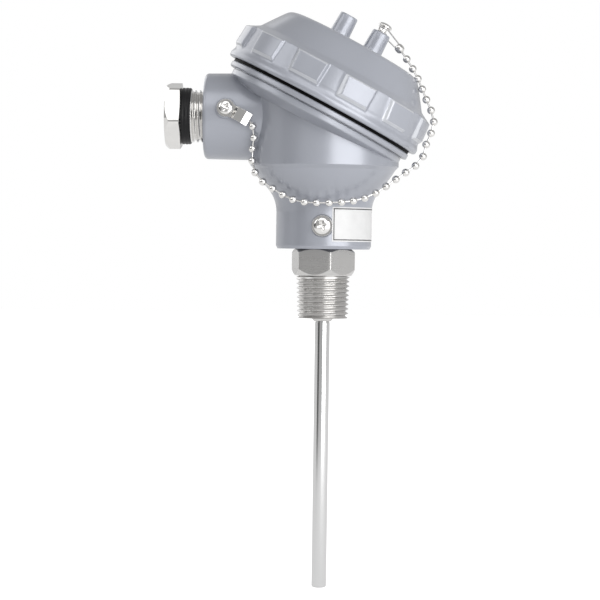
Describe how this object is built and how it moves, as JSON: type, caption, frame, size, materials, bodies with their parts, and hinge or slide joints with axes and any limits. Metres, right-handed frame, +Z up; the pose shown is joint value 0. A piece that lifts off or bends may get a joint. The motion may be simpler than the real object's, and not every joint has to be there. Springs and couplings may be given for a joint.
{
  "type": "resistance thermometer with connection head",
  "caption": "Thermometer probe with a threaded hexagon fitting under a cast connection head with a tilted screw cover, cable gland and ball chain.",
  "frame": {"origin": "on the probe's axis where the process thread meets the hexagon's lower face", "axes": "+Z up along the probe into the head, cable entry towards -X, cover leaning towards +X"},
  "size_m": [0.1093, 0.0854, 0.2304],
  "materials": {
    "head_paint": "smooth glossy grey enamel over cast aluminium",
    "seal_rubber": "matt black rubber",
    "bright_plating": "bright nickel plating",
    "screw_steel": "zinc-plated steel",
    "stainless": "turned stainless steel, satin",
    "ceramic": "off-white fired ceramic",
    "potting": "hard potting resin",
    "wire_sleeve": "insulated lead wire",
    "brass": "nickel-free machined brass"
  },
  "bodies": {
    "head": {"head_body": "head_paint", "chain_tab": "bright_plating", "tab_screw": "bright_plating", "lower_chain_balls": "bright_plating", "lower_chain_links": "bright_plating", "neck_screw": "screw_steel", "neck_washer": "screw_steel", "gland_grommet": "seal_rubber", "press_washers": "screw_steel", "process_fitting": "stainless", "probe_sheath": "stainless", "sensor_element": "ceramic", "sheath_filling": "ceramic", "sheath_plug": "potting", "lead_wires": "wire_sleeve", "terminal_block": "ceramic", "terminals": "brass", "terminal_screws": "screw_steel", "block_washers": "screw_steel", "block_screws": "screw_steel"},
    "cover_carrier": {"cover_gasket": "seal_rubber", "upper_chain_balls": "bright_plating", "upper_chain_links": "bright_plating"},
    "cover": {"cover": "head_paint", "chain_screw": "bright_plating", "chain_loop": "bright_plating"},
    "gland_carrier": {"gland_ring": "seal_rubber"},
    "gland_nut": {"gland_nut": "bright_plating"}
  },
  "joints": [
    {"name": "cover_lift", "type": "slide", "parent": "head", "child": "cover_carrier", "axis": [0.4633, 0, 0.8862], "range_m": [0, 0.008]},
    {"name": "cover_turn", "type": "hinge", "parent": "cover_carrier", "child": "cover", "pos_m": [-0.0016, 0, 0.0675], "axis": [0.4633, 0, 0.8862], "range_deg": [0, 1440]},
    {"name": "gland_travel", "type": "slide", "parent": "head", "child": "gland_carrier", "axis": [-1, 0, 0], "range_m": [-0.00363, 0.00363]},
    {"name": "gland_turn", "type": "hinge", "parent": "gland_carrier", "child": "gland_nut", "pos_m": [-0.0573, 0, 0.063], "axis": [-1, 0, 0], "range_deg": [-720, 720]}
  ],
  "couplings": [
    {"joint": "cover_lift", "follows": "cover_turn", "m_per_rad": 0.00031831},
    {"joint": "gland_travel", "follows": "gland_turn", "m_per_rad": 0.00028871}
  ]
}
